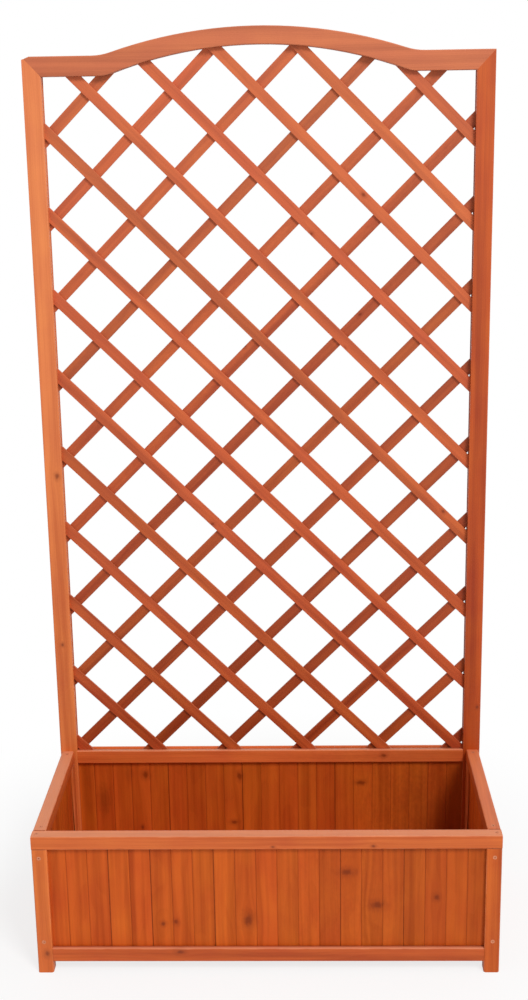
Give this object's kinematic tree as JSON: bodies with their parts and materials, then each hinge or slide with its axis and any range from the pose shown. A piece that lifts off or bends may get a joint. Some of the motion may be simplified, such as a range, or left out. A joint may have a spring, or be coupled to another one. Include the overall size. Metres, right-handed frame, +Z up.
{
  "type": "planter with trellis",
  "caption": "Low boarded wooden planter box on four feet with a tall diamond lattice trellis behind it in a frame with an arched top rail.",
  "frame": {"origin": "on the ground, under the middle of the whole object", "axes": "+X to the right seen from the front, +Y to the back, where the trellis stands, +Z up"},
  "size_m": [0.91, 0.385, 1.7999],
  "materials": {
    "frame_timber": "softwood with a red-brown stain, satin, of the stiles and rails of the trellis frame",
    "box_timber": "softwood with a red-brown stain, satin, of the legs, rails and battens of the box",
    "lath_timber": "thin softwood laths with a red-brown stain, matt",
    "board_timber": "tongued and grooved softwood boards with a red-brown stain, satin, with knots",
    "floor_timber": "sawn softwood slats and cleats with a red-brown stain, matt",
    "screw_steel": "yellow zinc plated steel"
  },
  "bodies": {
    "root": {"arched_top_rail": "frame_timber", "batten_screws": "screw_steel", "cleat_screws": "screw_steel", "edge_screws": "screw_steel", "floor_slats": "floor_timber", "front_boards": "board_timber", "front_bottom_rail": "box_timber", "front_cleat": "floor_timber", "front_lath_01": "lath_timber", "front_lath_02": "lath_timber", "front_lath_03": "lath_timber", "front_lath_04": "lath_timber", "front_lath_05": "lath_timber", "front_lath_06": "lath_timber", "front_lath_07": "lath_timber", "front_lath_08": "lath_timber", "front_lath_09": "lath_timber", "front_lath_10": "lath_timber", "front_lath_11": "lath_timber", "front_lath_12": "lath_timber", "front_lath_13": "lath_timber", "front_lath_14": "lath_timber", "front_rail_screws": "screw_steel", "front_top_rail": "box_timber", "left_boards": "board_timber", "left_bottom_rail": "box_timber", "left_front_batten": "box_timber", "left_front_leg": "box_timber", "left_rear_batten": "box_timber", "left_stile": "frame_timber", "left_top_rail": "box_timber", "leg_screws": "screw_steel", "mid_rail": "frame_timber", "rear_boards": "board_timber", "rear_bottom_rail": "frame_timber", "rear_cleat": "floor_timber", "rear_lath_01": "lath_timber", "rear_lath_02": "lath_timber", "rear_lath_03": "lath_timber", "rear_lath_04": "lath_timber", "rear_lath_05": "lath_timber", "rear_lath_06": "lath_timber", "rear_lath_07": "lath_timber", "rear_lath_08": "lath_timber", "rear_lath_09": "lath_timber", "rear_lath_10": "lath_timber", "rear_lath_11": "lath_timber", "rear_lath_12": "lath_timber", "rear_lath_13": "lath_timber", "rear_lath_14": "lath_timber", "right_boards": "board_timber", "right_bottom_rail": "box_timber", "right_front_batten": "box_timber", "right_front_leg": "box_timber", "right_rear_batten": "box_timber", "right_stile": "frame_timber", "right_top_rail": "box_timber", "side_rail_screws": "screw_steel"}
  },
  "joints": []
}
